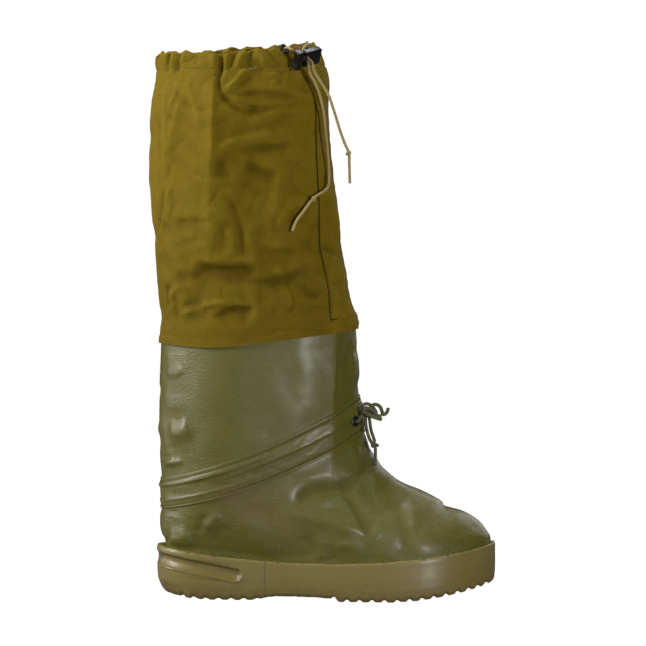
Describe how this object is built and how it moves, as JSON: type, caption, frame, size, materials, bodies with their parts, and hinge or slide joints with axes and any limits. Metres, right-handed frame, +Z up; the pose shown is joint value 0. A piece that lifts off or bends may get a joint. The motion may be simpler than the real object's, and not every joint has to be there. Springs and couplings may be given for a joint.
{
  "type": "overshoe",
  "caption": "Tall rubber overshoe for the right foot, with a hollow coated-cloth upper, a canvas gaiter shaft, an elastic drawcord with a cord lock at the collar, and an instep lace.",
  "frame": {"origin": "on the ground under the middle of the boot's length and width", "axes": "+X forward to the toe, +Y to the inner side of the right foot, +Z up"},
  "size_m": [0.3466, 0.1322, 0.5558],
  "materials": {
    "sole_rubber": "satin moulded rubber, dusty",
    "coated_cloth": "satin rubberised cloth with a fine weave",
    "canvas": "matt proofed canvas",
    "insole_board": "matt felt board",
    "eyelet_metal": "blackened metal",
    "lock_plastic": "matt moulded plastic",
    "elastic_cord": "braided elastic cord",
    "lace_cord": "braided lace"
  },
  "bodies": {
    "boot": {"outsole": "sole_rubber", "insole": "insole_board", "upper": "coated_cloth", "ankle_channel": "coated_cloth", "shaft": "canvas", "eyelet_instep_outer": "eyelet_metal", "eyelet_instep_inner": "eyelet_metal", "eyelet_collar_back": "eyelet_metal", "eyelet_collar_front": "eyelet_metal", "lock_body": "lock_plastic", "drawcord_back": "elastic_cord", "drawcord_front": "elastic_cord", "knot_back": "elastic_cord", "knot_front": "elastic_cord", "lace_bar": "lace_cord", "lace_knot": "lace_cord", "lace_ear": "lace_cord", "lace_end": "lace_cord", "lace_drop_outer": "lace_cord", "lace_drop_inner": "lace_cord", "lace_end_knot": "lace_cord", "lace_tail": "lace_cord"},
    "plunger": {"lock_plunger": "lock_plastic"}
  },
  "joints": [
    {"name": "lock_press", "type": "slide", "parent": "boot", "child": "plunger", "axis": [0.7864, 0.5545, 0.2722], "range_m": [0, 0.0022], "stiffness_N_per_m": 1500, "springref_m": -0.002}
  ]
}
